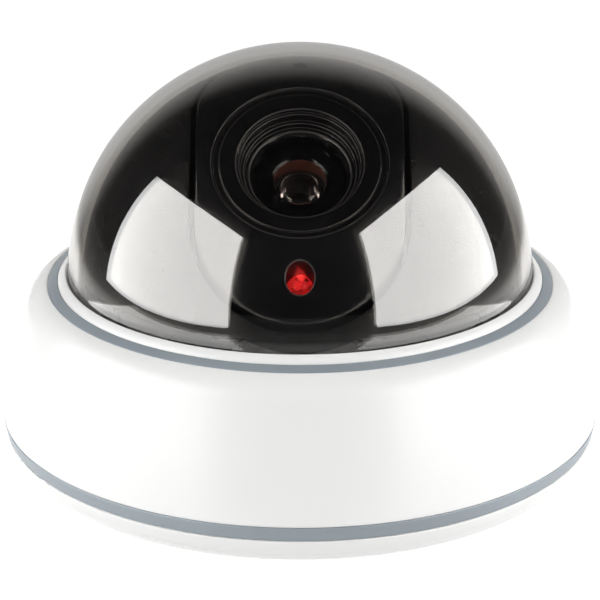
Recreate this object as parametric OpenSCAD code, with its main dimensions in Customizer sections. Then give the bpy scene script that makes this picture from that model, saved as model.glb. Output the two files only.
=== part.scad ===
// Dome camera: a white drum-shaped shell and a smoked dome, over a camera head that
// pans, tilts and focuses.
// Origin: centre of the mounting face. +Z points away from the mounting surface.
// The lens looks towards -Y.

/* [Body] */
// Widest diameter, at the lower edge of the shell
body_d = 120; // [119:0.5:122]
// Height from the mounting face to the top of the dome
overall_h = 82; // [82:0.5:84]
// Height of the white rim below the lower trim ring
rim_h = 5.9; // [5.5:0.1:6.2]
// Height of the lower trim ring
trim_h = 2.8; // [2.4:0.1:2.8]
// Wall thickness of the outer shell
shell_wall = 2; // [1.6:0.1:2.2]
// Number of bayonet hooks that hold the shell to the base
bayonet_count = 3; // [2:1:4]

/* [Mounting] */
// Number of screw holes in the base
mount_holes = 3; // [2:1:3]
// Diameter of the screw circle
mount_circle_d = 90; // [86:1:94]
// Diameter of each screw hole
mount_hole_d = 4.5; // [3.5:0.1:5]
// Diameter of the cable hole in the rubber grommet
cable_hole_d = 6; // [4:0.5:8]

/* [Dome] */
// Outer radius of the dome
dome_r = 46.25; // [46:0.05:46.5]
// Wall thickness of the dome
dome_wall = 2; // [1.6:0.1:2.2]

/* [Camera head] */
// Angle of the lens above the mounting face, in degrees
lens_elevation = 51; // [45:1:58]
// Outer radius of the shroud round the camera head
liner_r = 43.2; // [42.8:0.1:43.3]
// Half width of the front piece that carries the lens
cover_half_w = 19.2; // [19:0.1:19.4]
// Width of the groove between the front piece and the shroud
groove_w = 0.9; // [0.7:0.1:1]
// Radius of the lens well's outer ring
well_r = 16; // [15.9:0.1:16.2]
// Diameter of the status lamp
led_d = 5; // [3:0.5:5]

/* [Hidden] */
$fn = 96;
eps = 0.01;

// Rim, trim rings and outer profile, as radius and height
body_r = body_d / 2;
part_gap = 0.15;
trim_z = rim_h + part_gap;
shell_z = trim_z + trim_h;
rim_foot_r = body_r - 5;
rim_top_r = body_r - 0.6;
shoulder = [body_r - 5.5, 31.3];
deck_edge = [50.2, 35.4];
bezel_edge = [48.26, 36.2];
dome_edge = [dome_r + 0.4, 37.5];
rim_bulge = 0.95;
wall_bulge = 0.36;
shoulder_bulge = 0.71;

// Base plate
floor_t = 2.2;
hub_bore_r = 8;
hub_shoulder_r = 14;
hub_r = 12;
hub_shoulder_z = 14;
hub_top_z = 19;
clip_groove_r = 11.2;
clip_z = 17.15;
clip_t = 1.1;
spigot_r = 55.3;
spigot_t = 1.8;
spigot_top_z = 12.5;
hook_z = 10.4;
hook_t = 1.8;
hook_stop_z = 9;
hook_reach = 1.4;
hook_angle = 24;
hook_stop_angle = 2;
lug_z = shell_z;
lug_t = 1.2;
lug_angle = 18;
lug_gap = 0.35;
mount_boss_r = 5;
mount_boss_h = 4.5;
rib_count = 6;
rib_t = 1.2;
rib_top_z = 5;

// Main board
board_t = 1.6;
board_z = 5.5;
board_r = 37.5;
board_hole_r = 16;
board_top_z = board_z + board_t;
board_screw_circle_r = 31;
post_r = 3;
screw_r = 0.95;
screw_clear_r = 1.1;
screw_head_r = 1.9;
screw_head_h = 1.4;

// Shell top: ledge that carries the dome, and the wall round it
ledge_r = 45.2;
ledge_z = 31.4;
ledge_t = 1.2;
ledge_top_z = ledge_z + ledge_t;
trim_groove_z = 34.2;
slide_gap = 0.06;

// Dome flange and the rings on it
dome_z = overall_h - dome_r;
flange_r = 48;
flange_z = 33.4;
flange_t = 1.5;
flange_top_z = flange_z + flange_t;

// Turntable and tilt axis
turn_z = 14.5;
turn_t = 2.5;
turn_top_z = turn_z + turn_t;
turn_r = 30;
turn_fit = 0.05;
arm_in_x = 37;
arm_t = 2.4;
arm_out_x = arm_in_x + arm_t;
arm_half_w = 7;
pin_r = 2;
pin_fit = 0.06;
pin_end_x = 42.2;
pin_head_r = 3.4;
pin_head_t = 1.2;
ear_in_x = arm_out_x + 0.5;
ear_out_x = 42.4;
ear_r = 6;

// Camera head, measured from the dome's centre: x across, y up the face, z along the lens axis
liner_t = 1.6;
liner_cut_z = 3.05;
cover_r = liner_r + 0.25;
cover_t = 1.6;
cover_low = -29.5;
cover_high = 32.6;
open_half_w = cover_half_w + groove_w;
open_low = cover_low - groove_w;
open_high = cover_high + groove_w;
skirt_t = 1.4;
return_t = 1.2;
return_d = 22;
cover_flange_t = 1.5;
cover_flange_d = return_d - cover_flange_t;
cover_boss_places = [[22.9, 14], [-22.9, 14], [22.9, -10], [-22.9, -10]];
cover_boss_r = 2.2;
cover_boss_d = 28;
head_sphere_clip = 42.5;

// Lens well and lens
well_hole_r = well_r + 0.2;
well_back_d = 27;
well_flange_t = 1.5;
well_flange_r = 17.2;
well_boss_places = [[9, 17.5], [-9, 17.5], [9, -17.5], [-9, -17.5]];
well_boss_r = 2.4;
thread_r = 6;
thread_fit = 0.06;
lens_face_r = 8.4;
lens_face_d = 33.6;
lens_seat_r = 4.9;
lens_seat_d = 29.9;
front_glass_r = 4.85;
front_glass_curve = 6.5;
inner_glass_r = 3.55;
inner_glass_curve = 4;
stop_d = 27;
stop_t = 0.2;
rear_seat_d = 20.5;

// Sensor board and lens holder
sensor_board = [36, 31, 1.6];
sensor_board_d = 12;
sensor_face_d = sensor_board_d + sensor_board[2];
sensor_post_places = [[16, 13], [-16, 13], [16, -13], [-16, -13]];
sensor_post_r = 2.2;
small_screw_r = 0.75;
small_hole_r = 0.8;
small_head_r = 1.7;
small_head_h = 1.2;
holder_base = [26, 20, 4];
holder_r = 8.2;
holder_top_d = 26;
holder_screw_x = 10.6;
sensor_chip = [11, 11, 1.4];
sensor_pocket = [14.6, 14.6, 2.2];
filter_size = [10.2, 10.2, 0.5];
filter_pocket = [10.6, 10.6, 0.7];

// Status lamp and light sensor
led_y = -22.6;
led_r = led_d / 2;
led_hole_r = led_r + 0.1;
led_tip_d = 35.5;
led_base_d = 28.1;
led_flange_r = led_r + 0.4;
led_flange_t = 1;
led_collar_t = 1;
led_collar_d = 30;
led_board = [11, 8, 1.2];
led_lead_r = 0.25;
led_lead_x = 1.27;
eye_y = 24.2;
eye_hole_r = 1.4;
eye_r = 2;
eye_d = 29;
eye_h = 3;

// Points of the circular arc from p to q that bulges to the right of that direction
function arc_points(p, q, bulge, steps = 12) =
    let (
        chord = norm(q - p),
        along = (q - p) / chord,
        out = [along[1], -along[0]],
        radius = (chord * chord / 4 + bulge * bulge) / (2 * bulge),
        half = asin(chord / 2 / radius),
        centre = (p + q) / 2 - out * (radius - bulge)
    )
    [for (i = [0:steps])
        let (a = -half + 2 * half * i / steps)
        centre + radius * (out * cos(a) + along * sin(a))];

// Outer profile of the shell from its lower edge up to the shoulder's inner edge
function shell_outline(inset) = concat(
    arc_points([body_r - inset, shell_z], shoulder - [inset, inset / 3], wall_bulge),
    arc_points(shoulder - [inset, inset / 3], deck_edge - [inset / 3, inset], shoulder_bulge));

module ring(r_in, r_out, z, h) {
    translate([0, 0, z])
        difference() {
            cylinder(r = r_out, h = h);
            translate([0, 0, -1])
                cylinder(r = r_in, h = h + 2);
        }
}

// Arc-shaped block between two radii, from angle a and through angle sweep
module arc_block(r_in, r_out, z, h, a, sweep) {
    rotate([0, 0, a])
        rotate_extrude(angle = sweep)
            translate([r_in, z])
                square([r_out - r_in, h]);
}

// Long hole shape with round ends, from low to high
module stadium(half_w, low, high) {
    translate([-half_w, low + half_w])
        square([2 * half_w, high - low - 2 * half_w]);
    for (y = [low + half_w, high - half_w])
        translate([0, y])
            circle(r = half_w);
}

module stadium_prism(half_w, low, high, d, h) {
    translate([0, 0, d])
        linear_extrude(h)
            stadium(half_w, low, high);
}

// Puts children, drawn along +Z, on the lens axis
module on_lens_axis() {
    translate([0, 0, dome_z])
        rotate([90 - lens_elevation, 0, 0])
            children();
}

module centred_box(size, d) {
    translate([-size[0] / 2, -size[1] / 2, d])
        cube(size);
}

// Screw with its head below and its shank along +Z
module screw(shank_r, shank_h, head_r, head_h) {
    translate([0, 0, -head_h])
        cylinder(r = head_r, h = head_h);
    translate([0, 0, -eps])
        cylinder(r = shank_r, h = shank_h + eps);
}

module bored_post(r, hole_r, d, h, hole_depth) {
    translate([0, 0, d])
        difference() {
            cylinder(r = r, h = h);
            translate([0, 0, -1])
                cylinder(r = hole_r, h = hole_depth + 1);
        }
}

// ---- Base ----

module base_profile() {
    polygon(concat(
        [[hub_bore_r, 0]],
        arc_points([rim_foot_r, 0], [rim_top_r, rim_h], rim_bulge),
        [
            [rim_top_r - 2, rim_h],
            [rim_top_r - 2.8, floor_t],
            [spigot_r, floor_t],
            [spigot_r, spigot_top_z],
            [spigot_r - spigot_t, spigot_top_z],
            [spigot_r - spigot_t, floor_t],
            [hub_shoulder_r, floor_t],
            [hub_shoulder_r, hub_shoulder_z],
            [hub_r, hub_shoulder_z],
            [hub_r, clip_z],
            [clip_groove_r, clip_z],
            [clip_groove_r, clip_z + clip_t],
            [hub_r, clip_z + clip_t],
            [hub_r, hub_top_z],
            [hub_bore_r, hub_top_z]
        ]));
}

module base_plate() {
    rib_length = spigot_r - spigot_t - hub_shoulder_r + 1.5;
    color([0.93, 0.93, 0.92])
        difference() {
            union() {
                rotate_extrude()
                    base_profile();
                for (i = [0:bayonet_count - 1])
                    rotate([0, 0, i * 360 / bayonet_count]) {
                        arc_block(spigot_r - 1, spigot_r + hook_reach, hook_z, hook_t, 0, hook_angle);
                        arc_block(spigot_r - 0.8, spigot_r + hook_reach - 0.2, hook_stop_z,
                            hook_z + hook_t / 2 - hook_stop_z, -hook_stop_angle / 2, hook_stop_angle);
                    }
                for (i = [0:mount_holes - 1])
                    rotate([0, 0, 90 + i * 360 / mount_holes])
                        translate([mount_circle_d / 2, 0, floor_t - 1])
                            cylinder(r = mount_boss_r, h = mount_boss_h - floor_t + 1);
                for (i = [0:3])
                    rotate([0, 0, 45 + i * 90])
                        translate([board_screw_circle_r, 0, floor_t - 1])
                            cylinder(r = post_r, h = board_z - floor_t + 1);
                for (i = [0:rib_count - 1])
                    rotate([0, 0, i * 360 / rib_count])
                        translate([hub_shoulder_r - 1, -rib_t / 2, floor_t - 1])
                            cube([rib_length, rib_t, rib_top_z - floor_t + 1]);
            }
            for (i = [0:mount_holes - 1])
                rotate([0, 0, 90 + i * 360 / mount_holes])
                    translate([mount_circle_d / 2, 0, -1])
                        cylinder(d = mount_hole_d, h = mount_boss_h + 2);
            for (i = [0:3])
                rotate([0, 0, 45 + i * 90])
                    translate([board_screw_circle_r, 0, floor_t + 0.6])
                        cylinder(r = screw_r + 0.05, h = board_z);
        }
}

module cable_grommet() {
    color([0.12, 0.12, 0.12])
        rotate_extrude()
            polygon([
                [cable_hole_d / 2, 0.4],
                [hub_bore_r, 0.4],
                [hub_bore_r, 4.2],
                [hub_bore_r - 1.6, 5],
                [cable_hole_d / 2, 5]
            ]);
}

module main_board() {
    color([0.07, 0.32, 0.18])
        difference() {
            ring(board_hole_r, board_r, board_z, board_t);
            for (i = [0:3])
                rotate([0, 0, 45 + i * 90])
                    translate([board_screw_circle_r, 0, board_z - 1])
                        cylinder(r = screw_clear_r, h = board_t + 2);
        }
}

module main_board_screws() {
    color([0.7, 0.7, 0.72])
        for (i = [0:3])
            rotate([0, 0, 45 + i * 90])
                translate([board_screw_circle_r, 0, board_top_z])
                    mirror([0, 0, 1])
                        screw(screw_r, board_top_z - floor_t - 0.9, screw_head_r, screw_head_h);
}

module processor_chip() {
    chip_w = 14;
    chip_y = 27;
    color([0.1, 0.1, 0.11])
        translate([-chip_w / 2, chip_y - chip_w / 2, board_top_z])
            cube([chip_w, chip_w, 1.4]);
}

module board_capacitors() {
    can_r = 3.15;
    can_h = 5.4;
    color([0.75, 0.75, 0.78])
        for (a = [162, 180, 198])
            rotate([0, 0, a])
                translate([27, 0, board_top_z])
                    cylinder(r = can_r, h = can_h);
}

module power_terminal() {
    block = [8, 10.4, 6.4];
    way_y = 2.6;
    wire_r = 1.4;
    color([0.15, 0.42, 0.25])
        translate([23, 0, board_top_z])
            difference() {
                translate([0, -block[1] / 2, 0])
                    cube(block);
                for (side = [-1, 1]) {
                    translate([block[0] - 4, side * way_y, 2.4])
                        rotate([0, 90, 0])
                            cylinder(r = wire_r, h = 5);
                    translate([block[0] / 2, side * way_y, block[2] - 1])
                        cylinder(r = wire_r, h = 2);
                }
            }
}

module video_socket() {
    socket = [9, 6, 5.5];
    wall = 0.8;
    color([0.9, 0.89, 0.82])
        translate([0, -27, board_top_z])
            difference() {
                centred_box(socket, 0);
                centred_box([socket[0] - 2 * wall, socket[1] - 2 * wall, socket[2]], 1.5);
            }
}

module friction_washer() {
    color([0.85, 0.82, 0.7])
        ring(hub_r + 0.1, hub_shoulder_r - 0.1, hub_shoulder_z, turn_z - hub_shoulder_z - 0.05);
}

module hub_retaining_ring() {
    opening_angle = 40;
    color([0.6, 0.6, 0.62])
        arc_block(clip_groove_r + 0.02, hub_r + 2.2, clip_z + 0.05, clip_t - 0.1,
            -90 + opening_angle / 2, 360 - opening_angle);
}

// ---- Outer shell ----

module shell_profile() {
    inner = shell_outline(shell_wall);
    last = len(inner) - 1;
    polygon(concat(
        shell_outline(0),
        [
            [deck_edge[0], trim_groove_z],
            [bezel_edge[0], trim_groove_z],
            [bezel_edge[0], ledge_top_z],
            [ledge_r, ledge_top_z],
            [ledge_r, ledge_z],
            [inner[last][0], ledge_z]
        ],
        [for (i = [last:-1:0]) if (inner[i][1] < ledge_z) inner[i]]));
}

module body_shell() {
    color([0.94, 0.94, 0.93])
        union() {
            rotate_extrude()
                shell_profile();
            for (i = [0:bayonet_count - 1])
                rotate([0, 0, i * 360 / bayonet_count])
                    arc_block(spigot_r + lug_gap, body_r - shell_wall + 0.2, lug_z, lug_t,
                        hook_stop_angle / 2 + 0.5, lug_angle);
        }
}

module lower_trim_ring() {
    color([0.59, 0.63, 0.66])
        rotate_extrude()
            polygon([
                [body_r - 3, trim_z],
                [rim_top_r, trim_z],
                [body_r, shell_z],
                [body_r - 3, shell_z]
            ]);
}

module upper_trim_ring() {
    color([0.56, 0.59, 0.62])
        rotate_extrude()
            polygon([
                [bezel_edge[0], trim_groove_z],
                [deck_edge[0], trim_groove_z],
                [deck_edge[0], deck_edge[1] - 0.25],
                [deck_edge[0] - 0.25, deck_edge[1] - 0.05],
                bezel_edge
            ]);
}

// ---- Dome ----

module dome_cover() {
    inner_r = dome_r - dome_wall;
    color([0.55, 0.54, 0.52, 0.45])
        difference() {
            union() {
                translate([0, 0, dome_z])
                    intersection() {
                        sphere(r = dome_r);
                        translate([0, 0, -eps])
                            cylinder(r = dome_r + 1, h = dome_r + 1);
                    }
                translate([0, 0, flange_z])
                    cylinder(r = dome_r, h = dome_z - flange_z);
                translate([0, 0, flange_z])
                    cylinder(r = flange_r, h = flange_t);
            }
            translate([0, 0, dome_z])
                sphere(r = inner_r);
            translate([0, 0, flange_z - 1])
                cylinder(r = inner_r, h = dome_z - flange_z + 1);
        }
}

module dome_bezel() {
    top = arc_points([bezel_edge[0] - slide_gap, bezel_edge[1]], dome_edge, 0.2, 6);
    color([0.94, 0.94, 0.93])
        rotate_extrude()
            polygon(concat(
                [[dome_r + 0.1, flange_top_z], [bezel_edge[0] - slide_gap, flange_top_z]],
                top,
                [[dome_r + 0.1, dome_edge[1] - 0.3]]));
}

module dome_seal() {
    color([0.1, 0.1, 0.1])
        ring(ledge_r + 0.4, flange_r, ledge_top_z + 0.05, flange_z - ledge_top_z - 0.05);
}

// ---- Turntable ----

module turntable() {
    wire_hole_r = 4;
    rib_t = 2;
    color([0.13, 0.13, 0.14])
        difference() {
            union() {
                translate([0, 0, turn_z])
                    cylinder(r = turn_r, h = turn_t);
                translate([-arm_out_x, -arm_half_w, turn_z])
                    cube([2 * arm_out_x, 2 * arm_half_w, turn_t]);
                for (side = [0, 1])
                    mirror([side, 0, 0]) {
                        translate([arm_in_x, -arm_half_w, turn_z])
                            cube([arm_t, 2 * arm_half_w, dome_z - turn_z]);
                        translate([arm_in_x, 0, dome_z])
                            rotate([0, 90, 0])
                                cylinder(r = arm_half_w, h = arm_t);
                        translate([0, rib_t / 2, 0])
                            rotate([90, 0, 0])
                                linear_extrude(rib_t)
                                    polygon([
                                        [turn_r - 2, turn_top_z - 0.5],
                                        [arm_in_x + 1, turn_top_z - 0.5],
                                        [arm_in_x + 1, turn_top_z + 10]
                                    ]);
                    }
            }
            translate([0, 0, turn_z - 1])
                cylinder(r = hub_r + turn_fit, h = turn_t + 2);
            for (i = [0:3])
                rotate([0, 0, 45 + i * 90])
                    translate([turn_r - 9, 0, turn_z - 1])
                        cylinder(r = wire_hole_r, h = turn_t + 2);
            translate([-arm_out_x - 1, 0, dome_z])
                rotate([0, 90, 0])
                    cylinder(r = pin_r, h = 2 * arm_out_x + 2);
        }
}

module tilt_pins() {
    color([0.75, 0.75, 0.77])
        for (side = [0, 1])
            mirror([side, 0, 0])
                translate([arm_in_x, 0, dome_z])
                    rotate([0, 90, 0])
                        screw(pin_r, pin_end_x - arm_in_x, pin_head_r, pin_head_t);
}

module tilt_washers() {
    washer_gap = 0.05;
    color([0.85, 0.82, 0.7])
        for (side = [0, 1])
            mirror([side, 0, 0])
                translate([0, 0, dome_z])
                    rotate([0, 90, 0])
                        ring(pin_r + 0.05, pin_r + 2.5, arm_out_x, ear_in_x - arm_out_x - washer_gap);
}

// ---- Camera head ----

module liner_ear() {
    translate([0, 0, dome_z])
        rotate([0, 90, 0])
            translate([0, 0, ear_in_x])
                cylinder(r = ear_r, h = ear_out_x - ear_in_x);
    translate([ear_in_x, -ear_r, dome_z])
        cube([ear_out_x - ear_in_x, 2 * ear_r, ear_r]);
}

module inner_liner() {
    color([0.05, 0.05, 0.055])
        difference() {
            union() {
                difference() {
                    translate([0, 0, dome_z])
                        intersection() {
                            sphere(r = liner_r);
                            translate([0, 0, liner_cut_z])
                                cylinder(r = liner_r + 1, h = liner_r);
                        }
                    translate([0, 0, dome_z])
                        sphere(r = liner_r - liner_t);
                }
                on_lens_axis()
                    intersection() {
                        sphere(r = liner_r - 0.3);
                        union() {
                            stadium_prism(open_half_w + return_t, open_low - return_t, open_high + return_t,
                                return_d, liner_r);
                            for (p = cover_boss_places)
                                translate([p[0], p[1], return_d])
                                    cylinder(r = cover_boss_r, h = cover_boss_d - return_d);
                        }
                    }
                for (side = [0, 1])
                    mirror([side, 0, 0])
                        liner_ear();
            }
            on_lens_axis() {
                stadium_prism(open_half_w, open_low, open_high, return_d - 1, liner_r);
                for (p = cover_boss_places)
                    translate([p[0], p[1], return_d - 1])
                        cylinder(r = small_hole_r, h = 6);
            }
            translate([-ear_out_x - 2, 0, dome_z])
                rotate([0, 90, 0])
                    cylinder(r = pin_r + pin_fit, h = 2 * ear_out_x + 4);
        }
}

module cover_skin() {
    difference() {
        intersection() {
            sphere(r = cover_r);
            stadium_prism(cover_half_w, cover_low, cover_high, return_d - 1, cover_r);
        }
        intersection() {
            sphere(r = cover_r - cover_t);
            stadium_prism(cover_half_w - skirt_t, cover_low + skirt_t, cover_high - skirt_t,
                return_d - 2, cover_r);
        }
    }
}

module cover_flange() {
    difference() {
        union() {
            stadium_prism(open_half_w + return_t, open_low - return_t, open_high + return_t,
                cover_flange_d, cover_flange_t);
            for (p = cover_boss_places)
                translate([p[0], p[1], cover_flange_d])
                    cylinder(r = cover_boss_r + 0.4, h = cover_flange_t);
        }
        stadium_prism(cover_half_w - skirt_t, cover_low + skirt_t, cover_high - skirt_t,
            cover_flange_d - 1, cover_flange_t + 2);
        for (p = cover_boss_places)
            translate([p[0], p[1], cover_flange_d - 1])
                cylinder(r = small_hole_r + 0.3, h = cover_flange_t + 2);
    }
}

module cover_posts() {
    intersection() {
        sphere(r = head_sphere_clip);
        union() {
            for (p = sensor_post_places)
                translate([p[0], p[1], 0])
                    bored_post(sensor_post_r, small_hole_r, sensor_face_d, 22, 7);
            for (p = well_boss_places)
                translate([p[0], p[1], 0])
                    bored_post(well_boss_r, small_hole_r, well_back_d + well_flange_t, 14, 6);
            for (side = [-1, 1])
                translate([side * 4.9 - 0.5, led_y - 3, led_base_d])
                    cube([1, 6, 10]);
            translate([0, led_y, led_collar_d])
                cylinder(r = led_hole_r + led_collar_t, h = 10);
            translate([0, eye_y, 0])
                difference() {
                    translate([0, 0, eye_d])
                        cylinder(r = eye_r + 1, h = 10);
                    translate([0, 0, eye_d - 1])
                        cylinder(r = eye_r + 0.05, h = eye_h + 1);
                }
        }
    }
}

module module_cover() {
    color([0.045, 0.045, 0.05])
        on_lens_axis()
            difference() {
                union() {
                    cover_skin();
                    cover_flange();
                    cover_posts();
                }
                translate([0, 0, well_back_d])
                    cylinder(r = well_hole_r, h = cover_r);
                translate([0, led_y, led_base_d])
                    cylinder(r = led_hole_r, h = cover_r);
                translate([0, eye_y, eye_d])
                    cylinder(r = eye_hole_r, h = cover_r);
            }
}

module module_screws() {
    color([0.6, 0.6, 0.62])
        on_lens_axis()
            for (p = cover_boss_places)
                translate([p[0], p[1], cover_flange_d])
                    screw(small_screw_r, 6, small_head_r, small_head_h);
}

module lens_barrel() {
    color([0.055, 0.055, 0.06])
        on_lens_axis()
            difference() {
                union() {
                    rotate_extrude()
                        polygon([
                            [8.74, 30.4],
                            [8.74, 35.3],
                            [9.44, 36.3],
                            [10.25, 36.4],
                            [10.35, 37.5],
                            [11, 37.6],
                            [11.1, 39.3],
                            [11.6, 39.4],
                            [11.7, 40.15],
                            [well_r - 1.2, 40.2],
                            [well_r - 1.05, 39.85],
                            [well_r, 39.8],
                            [well_r, well_back_d],
                            [well_r - 2.4, well_back_d],
                            [well_r - 2.4, 29.2]
                        ]);
                    ring(well_r - 1, well_flange_r, well_back_d, well_flange_t);
                    difference() {
                        for (p = well_boss_places)
                            translate([p[0], p[1], well_back_d])
                                cylinder(r = well_boss_r + 0.4, h = well_flange_t);
                        translate([0, 0, well_back_d - 1])
                            cylinder(r = well_r - 1, h = well_flange_t + 2);
                    }
                }
                for (p = well_boss_places)
                    translate([p[0], p[1], well_back_d - 1])
                        cylinder(r = small_hole_r + 0.2, h = well_flange_t + 2);
            }
}

module barrel_screws() {
    color([0.6, 0.6, 0.62])
        on_lens_axis()
            for (p = well_boss_places)
                translate([p[0], p[1], well_back_d])
                    screw(small_screw_r, 6, small_head_r, small_head_h);
}

module lens_holder() {
    pocket_top_d = sensor_face_d + sensor_pocket[2];
    color([0.1, 0.1, 0.1])
        on_lens_axis()
            difference() {
                union() {
                    centred_box(holder_base, sensor_face_d);
                    translate([0, 0, sensor_face_d])
                        cylinder(r = holder_r, h = holder_top_d - sensor_face_d);
                }
                centred_box(sensor_pocket + [0, 0, 1], sensor_face_d - 1);
                centred_box(filter_pocket + [0, 0, 1], pocket_top_d - 1);
                translate([0, 0, pocket_top_d + filter_pocket[2] - eps])
                    cylinder(r = thread_r + thread_fit, h = holder_top_d);
                for (x = [-holder_screw_x, holder_screw_x])
                    translate([x, 0, sensor_face_d - 1])
                        cylinder(r = small_hole_r, h = 4.5);
            }
}

module lens_holder_screws() {
    color([0.6, 0.6, 0.62])
        on_lens_axis()
            for (x = [-holder_screw_x, holder_screw_x])
                translate([x, 0, sensor_board_d])
                    screw(small_screw_r, 4.8, small_head_r, small_head_h);
}

module sensor_board() {
    color([0.06, 0.28, 0.16])
        on_lens_axis()
            difference() {
                centred_box(sensor_board, sensor_board_d);
                for (p = concat(sensor_post_places, [[holder_screw_x, 0], [-holder_screw_x, 0]]))
                    translate([p[0], p[1], sensor_board_d - 1])
                        cylinder(r = small_hole_r + 0.2, h = sensor_board[2] + 2);
            }
}

module sensor_board_screws() {
    color([0.6, 0.6, 0.62])
        on_lens_axis()
            for (p = sensor_post_places)
                translate([p[0], p[1], sensor_board_d])
                    screw(small_screw_r, 8, small_head_r, small_head_h);
}

module image_sensor() {
    color([0.2, 0.18, 0.3])
        on_lens_axis()
            centred_box(sensor_chip, sensor_face_d);
}

module infrared_filter() {
    color([0.6, 0.2, 0.3, 0.5])
        on_lens_axis()
            centred_box(filter_size, sensor_face_d + sensor_pocket[2] + 0.1);
}

module ribbon_socket() {
    socket = [13, 4, 2.4];
    color([0.9, 0.89, 0.82])
        on_lens_axis()
            translate([0, -8, sensor_board_d - socket[2]])
                difference() {
                    centred_box(socket, 0);
                    centred_box([socket[0] - 2, 1.2, 1.5], -0.5);
                }
}

module status_led() {
    tip_centre = led_tip_d - led_r;
    color([0.85, 0.02, 0.08])
        on_lens_axis()
            translate([0, led_y, 0]) {
                translate([0, 0, led_base_d])
                    cylinder(r = led_flange_r, h = led_flange_t);
                translate([0, 0, led_base_d])
                    cylinder(r = led_r, h = tip_centre - led_base_d);
                translate([0, 0, tip_centre])
                    sphere(r = led_r);
            }
}

module led_leads() {
    color([0.75, 0.75, 0.77])
        on_lens_axis()
            for (side = [-1, 1])
                translate([side * led_lead_x, led_y, led_base_d - led_board[2] - 1])
                    cylinder(r = led_lead_r, h = led_board[2] + 1);
}

module led_board() {
    color([0.07, 0.32, 0.18])
        on_lens_axis()
            translate([0, led_y, led_base_d - led_board[2]])
                difference() {
                    centred_box(led_board, 0);
                    for (side = [-1, 1])
                        translate([side * led_lead_x, 0, -1])
                            cylinder(r = led_lead_r + 0.05, h = led_board[2] + 2);
                }
}

module led_resistor() {
    color([0.1, 0.1, 0.1])
        on_lens_axis()
            translate([0, led_y + 2.6, led_base_d - led_board[2] - 0.6])
                centred_box([2.2, 1.2, 0.6], 0);
}

module light_sensor() {
    color([0.55, 0.3, 0.2])
        on_lens_axis()
            translate([0, eye_y, eye_d])
                cylinder(r = eye_r, h = eye_h);
}

// ---- Lens ----

module lens_cell() {
    neck_d = 27.5;
    face_back_d = 31.6;
    back_d = 18;
    bore_r = 2.2;
    glass_seat_r = inner_glass_r + 0.05;
    color([0.02, 0.02, 0.022])
        on_lens_axis()
            rotate_extrude()
                polygon([
                    [glass_seat_r, back_d],
                    [thread_r, back_d],
                    [thread_r, neck_d],
                    [thread_r + 0.9, neck_d],
                    [thread_r + 0.9, face_back_d],
                    [lens_face_r, face_back_d],
                    [lens_face_r, lens_face_d],
                    [lens_seat_r, lens_face_d],
                    [lens_seat_r, lens_seat_d],
                    [lens_seat_r - 0.5, lens_seat_d],
                    [glass_seat_r, lens_seat_d - 0.9],
                    [glass_seat_r, stop_d],
                    [bore_r, stop_d],
                    [bore_r, rear_seat_d + 1.5],
                    [glass_seat_r, rear_seat_d]
                ]);
}

module lens_front_ring() {
    color([0.25, 0.25, 0.27])
        on_lens_axis()
            rotate_extrude()
                polygon([
                    [lens_seat_r + 0.05, lens_face_d],
                    [lens_seat_r + 0.7, lens_face_d],
                    [lens_seat_r + 0.7, lens_face_d + 0.4],
                    [lens_seat_r + 0.5, lens_face_d + 0.45],
                    [lens_seat_r + 0.05, lens_face_d + 0.05]
                ]);
}

// Glass with a flat back at d and a domed front of radius curve
module domed_glass(r, edge_h, curve, d) {
    cap_h = curve - sqrt(curve * curve - r * r);
    translate([0, 0, d])
        intersection() {
            cylinder(r = r, h = edge_h + cap_h + 1);
            translate([0, 0, edge_h + cap_h - curve])
                sphere(r = curve);
        }
}

module front_element() {
    color([0.3, 0.25, 0.35, 0.5])
        on_lens_axis()
            domed_glass(front_glass_r, 0.45, front_glass_curve, lens_seat_d);
}

module middle_element() {
    color([0.3, 0.25, 0.3, 0.5])
        on_lens_axis()
            domed_glass(inner_glass_r, 0.25, inner_glass_curve, stop_d + stop_t);
}

module rear_element() {
    color([0.3, 0.3, 0.35, 0.5])
        on_lens_axis()
            translate([0, 0, 18.2])
                cylinder(r = inner_glass_r, h = 2);
}

module aperture_disc() {
    stop_r = 1.1;
    color([0.02, 0.02, 0.02])
        on_lens_axis()
            ring(stop_r, inner_glass_r, stop_d, stop_t);
}

module focus_lock_ring() {
    notch_count = 12;
    color([0.3, 0.3, 0.32])
        on_lens_axis()
            difference() {
                ring(thread_r, holder_r, holder_top_d + 0.1, 1.3);
                for (i = [0:notch_count - 1])
                    rotate([0, 0, i * 360 / notch_count])
                        translate([holder_r + 0.2, 0, holder_top_d - 1])
                            cylinder(r = 0.5, h = 4);
            }
}

base_plate();
cable_grommet();
main_board();
main_board_screws();
processor_chip();
board_capacitors();
power_terminal();
video_socket();
friction_washer();
hub_retaining_ring();
body_shell();
lower_trim_ring();
upper_trim_ring();
dome_cover();
dome_bezel();
dome_seal();
turntable();
tilt_pins();
tilt_washers();
inner_liner();
module_cover();
module_screws();
lens_barrel();
barrel_screws();
lens_holder();
lens_holder_screws();
sensor_board();
sensor_board_screws();
image_sensor();
infrared_filter();
ribbon_socket();
status_led();
led_leads();
led_board();
led_resistor();
light_sensor();
lens_cell();
lens_front_ring();
front_element();
middle_element();
rear_element();
aperture_disc();
focus_lock_ring();
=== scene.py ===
import math
import bmesh
import bpy
from mathutils import Matrix, Vector
from mathutils.geometry import delaunay_2d_cdt


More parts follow.
